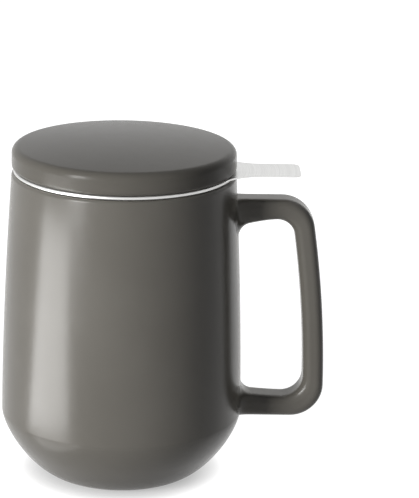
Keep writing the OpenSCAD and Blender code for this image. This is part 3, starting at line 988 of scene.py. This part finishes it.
def stage_floor(glow, shade, reach):
    """A wide floor, white to the camera and in reflections apart from the object's shadow on it.

    Its paint takes the lamps' real shadow. Its glow darkens by ambient occlusion where the object comes
    closer to the floor than reach, which is a painted contact shadow.
    """
    side, drop = 3.0, -0.05 * MM
    points = [(-side, -side, drop), (side, -side, drop), (side, side, drop), (-side, side, drop)]
    floor = new_mesh("stage_floor", points, np.array([[0, 1, 2, 3]]))
    material = bpy.data.materials.new("floor_white")
    tree = emptied(material)
    # Painted contact shadow: ambient occlusion darkens the floor's glow near the object, while the diffuse
    # paint takes the lamps' real shadow.
    near = node(tree, "AmbientOcclusion", {"Distance": reach}, samples=12)["AO"]
    seen = maths(tree, "MULTIPLY", seen_directly(tree), glow)
    strength = maths(tree, "MULTIPLY", seen, mapped(tree, near, (0.0, 1.0), (DARKEST_PAINTED_CONTACT, 1.0)))
    paint = node(tree, "BsdfDiffuse", {"Color": toned(WHITE, shade)})["BSDF"]
    light = node(tree, "Emission", {"Strength": strength})["Emission"]
    both = node(tree, "AddShader", {0: paint, 1: light})["Shader"]
    node(tree, "OutputMaterial", {"Surface": both})
    floor.data.materials.append(material)


def stage_world(ambient):
    """A white world to the camera and in reflections, and an even light of the ambient strength besides."""
    world = bpy.data.worlds.new("studio")
    bpy.context.scene.world = world
    tree = emptied(world)
    even = node(tree, "Background", {"Color": toned(WHITE), "Strength": ambient})["Background"]
    white = node(tree, "Background", {"Color": toned(WHITE), "Strength": 1.0})["Background"]
    light = node(tree, "MixShader", {"Fac": seen_directly(tree), 1: even, 2: white})["Shader"]
    node(tree, "OutputWorld", {"Surface": light})


def stage_camera(stage, middle):
    """The camera, aimed at the middle of the mug and then rolled, panned and tilted off it."""
    away = Vector((0.0, -math.cos(stage.camera_elevation), math.sin(stage.camera_elevation)))
    data = bpy.data.cameras.new("camera")
    data.sensor_width = 36.0
    data.lens = stage.lens
    data.clip_start, data.clip_end = 0.05, 20.0
    camera = placed("camera", data)
    camera.matrix_world = (
        aimed(middle + stage.camera_distance * away, middle)
        @ Matrix.Rotation(stage.camera_roll, 4, "Z")
        @ Matrix.Rotation(-stage.camera_pan, 4, "Y")
        @ Matrix.Rotation(stage.camera_tilt, 4, "X")
    )
    bpy.context.scene.camera = camera


class TEAMUG_OT_stage(bpy.types.Operator):
    """Sets up the floor, the white surroundings, four soft lamps and the camera"""

    bl_idname = "teamug.stage"
    bl_label = "Stage"

    def execute(self, context):
        stage = settings().stage
        middle = Vector((0.0, 0.0, settings().mug.height / 2))
        stage_floor(stage.floor_glow, stage.floor_shade, stage.painted_contact_reach)
        stage_world(stage.ambient)
        softbox("lamp_key", KEY_PLACE, middle, KEY_SIZE, stage.key)
        back = softbox("lamp_back", BACK_PLACE, middle, BACK_SIZE, stage.back)
        back.visible_glossy = False
        strip = softbox("lamp_strip", STRIP_PLACE, STRIP_TARGET, STRIP_SIZE, stage.strip)
        table = softbox("lamp_table", TABLE_PLACE, TABLE_TARGET, TABLE_SIZE, stage.table)
        table.data.shape = "ELLIPSE"
        for lamp in (strip, table):
            lamp.visible_camera = False
            lamp.visible_diffuse = False
        stage_camera(stage, middle)
        context.scene.view_settings.view_transform = "Standard"
        return {"FINISHED"}


# ---- add-on


class TeaMugSettings(bpy.types.PropertyGroup):
    """Everything that the sidebar shows."""

    mug: bpy.props.PointerProperty(type=MugSizes, name="Mug", description="Body and handle")
    infuser: bpy.props.PointerProperty(type=InfuserSizes, name="Infuser", description="Funnel and basket")
    lid: bpy.props.PointerProperty(type=LidSizes, name="Lid", description="The loose lid")
    finishes: bpy.props.PointerProperty(type=Finishes, name="Finishes", description="Colours and gloss")
    stage: bpy.props.PointerProperty(type=StageSettings, name="Stage", description="Floor, light and camera")


STEPS = (
    TEAMUG_OT_body,
    TEAMUG_OT_handle,
    TEAMUG_OT_funnel,
    TEAMUG_OT_basket,
    TEAMUG_OT_base,
    TEAMUG_OT_lid,
    TEAMUG_OT_stage,
)


class TEAMUG_PT_sidebar(bpy.types.Panel):
    """The mug's sizes and finishes, with a button for each piece."""

    bl_idname = "TEAMUG_PT_sidebar"
    bl_label = "Tea mug"
    bl_space_type = "VIEW_3D"
    bl_region_type = "UI"
    bl_category = "Tea mug"

    def draw(self, context):
        for step in STEPS:
            self.layout.operator(step.bl_idname)
        for group in ("mug", "infuser", "lid", "finishes", "stage"):
            values = getattr(context.scene.tea_mug, group)
            box = self.layout.box()
            box.label(text=group.capitalize())
            for name in values.__annotations__:
                box.prop(values, name)


GROUPS = (MugSizes, InfuserSizes, LidSizes, Finishes, StageSettings, TeaMugSettings)
CLASSES = (*GROUPS, *STEPS, TEAMUG_PT_sidebar)


def register():
    """Registers the classes and hangs the settings on the scene."""
    for item in CLASSES:
        bpy.utils.register_class(item)
    bpy.types.Scene.tea_mug = bpy.props.PointerProperty(type=TeaMugSettings)


def unregister():
    """Takes the settings and the classes away again."""
    del bpy.types.Scene.tea_mug
    for item in reversed(CLASSES):
        bpy.utils.unregister_class(item)


def main():
    """Registers the add-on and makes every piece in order."""
    register()
    bpy.ops.teamug.body()
    bpy.ops.teamug.handle()
    bpy.ops.teamug.funnel()
    bpy.ops.teamug.basket()
    bpy.ops.teamug.base()
    bpy.ops.teamug.lid()
    bpy.ops.teamug.stage()
    bpy.context.view_layer.update()


if __name__ == "__main__":
    main()
